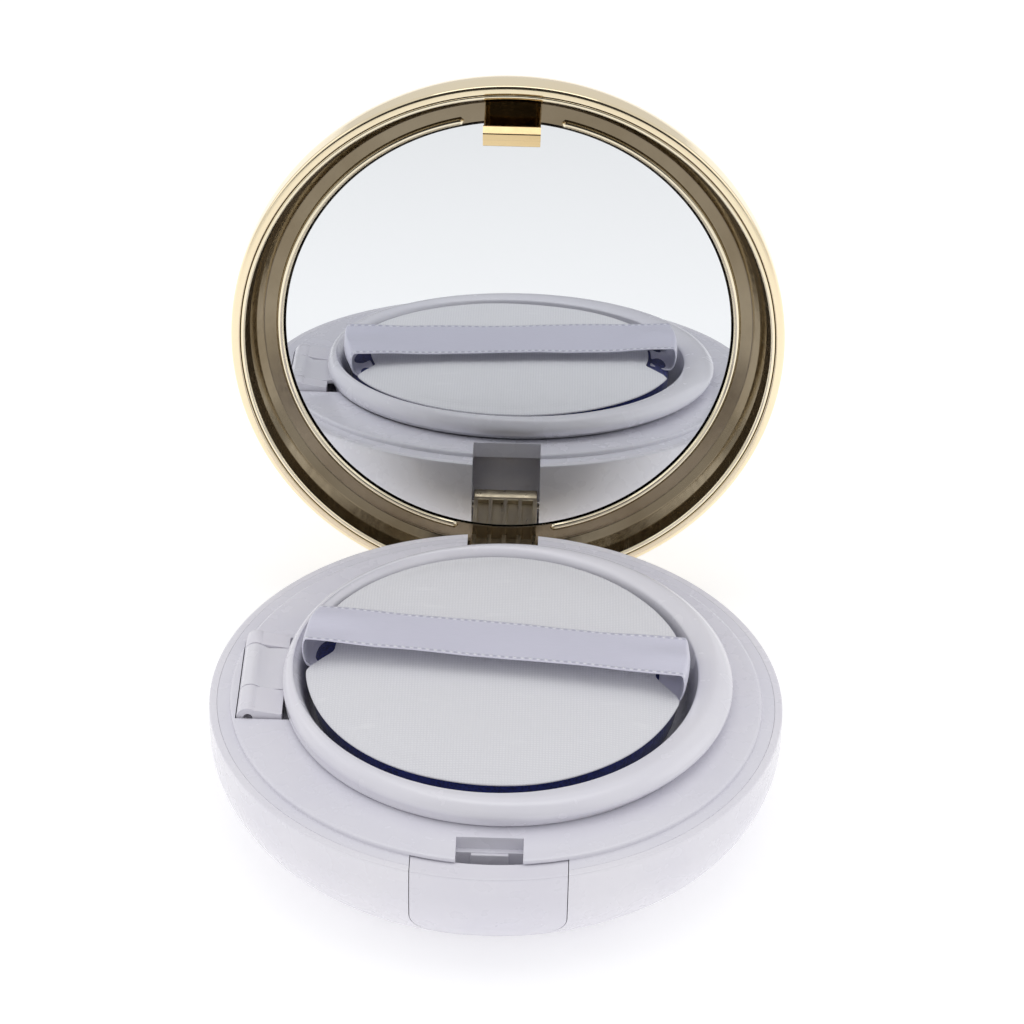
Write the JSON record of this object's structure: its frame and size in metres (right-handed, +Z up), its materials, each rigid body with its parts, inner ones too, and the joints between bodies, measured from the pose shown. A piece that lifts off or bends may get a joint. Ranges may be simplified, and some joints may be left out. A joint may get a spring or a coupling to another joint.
{
  "type": "powder compact",
  "caption": "Round cushion powder compact with a hinged mirror lid, a push-button latch, and a hinged inner lid that holds a ribboned puff over a lift-out refill.",
  "frame": {"origin": "middle of the flat foot under the base", "axes": "+Z up, -Y towards the push button at the front, +X to the right; the big hinge is at +Y, the small hinge at -X"},
  "size_m": [0.083, 0.1055, 0.0864],
  "materials": {
    "white_shell": "gloss",
    "white_frame": "gloss",
    "white_button": "gloss",
    "hinge_steel": "satin",
    "white_cup": "gloss",
    "sponge": "matte",
    "white_inner_lid": "gloss",
    "seal": "matte",
    "pin_plastic": "matte",
    "navy_foam": "matte",
    "woven_face": "matte",
    "satin_ribbon": "satin",
    "gold_shell": "metallised gloss",
    "gold_liner": "metallised gloss",
    "mirror_glass": "silvered",
    "tape": "matte"
  },
  "bodies": {
    "base": {"base_shell": "white_shell", "base_frame": "white_frame", "lid_hinge_pin": "hinge_steel"},
    "lid": {"lid_shell": "gold_shell", "lid_liner": "gold_liner", "mirror": "mirror_glass", "mirror_tape": "tape"},
    "refill": {"refill_cup": "white_cup", "cushion_sponge": "sponge", "inner_lid_pin": "pin_plastic"},
    "inner_lid_body": {"inner_lid": "white_inner_lid", "inner_lid_seal": "seal"},
    "puff": {"puff_foam": "navy_foam", "puff_cover": "woven_face", "puff_ribbon": "satin_ribbon"},
    "button": {"release_button": "white_button"}
  },
  "joints": [
    {"name": "lid_hinge", "type": "hinge", "parent": "base", "child": "lid", "pos_m": [0, 0.0374, 0.0089], "axis": [-1, 0, 0], "range_deg": [-96.1, 0]},
    {"name": "inner_lid_hinge", "type": "hinge", "parent": "refill", "child": "inner_lid_body", "pos_m": [-0.035, 0.0019, 0.0175], "axis": [0, -1, 0], "range_deg": [0, 110]},
    {"name": "refill_lift", "type": "slide", "parent": "base", "child": "refill", "axis": [0, 0, 1], "range_m": [0, 0.025]},
    {"name": "puff_lift", "type": "slide", "parent": "inner_lid_body", "child": "puff", "axis": [0, 0, 1], "range_m": [0, 0.02]},
    {"name": "button_press", "type": "slide", "parent": "base", "child": "button", "axis": [0, 1, 0], "range_m": [0, 0.001], "stiffness_N_per_m": 1500}
  ]
}
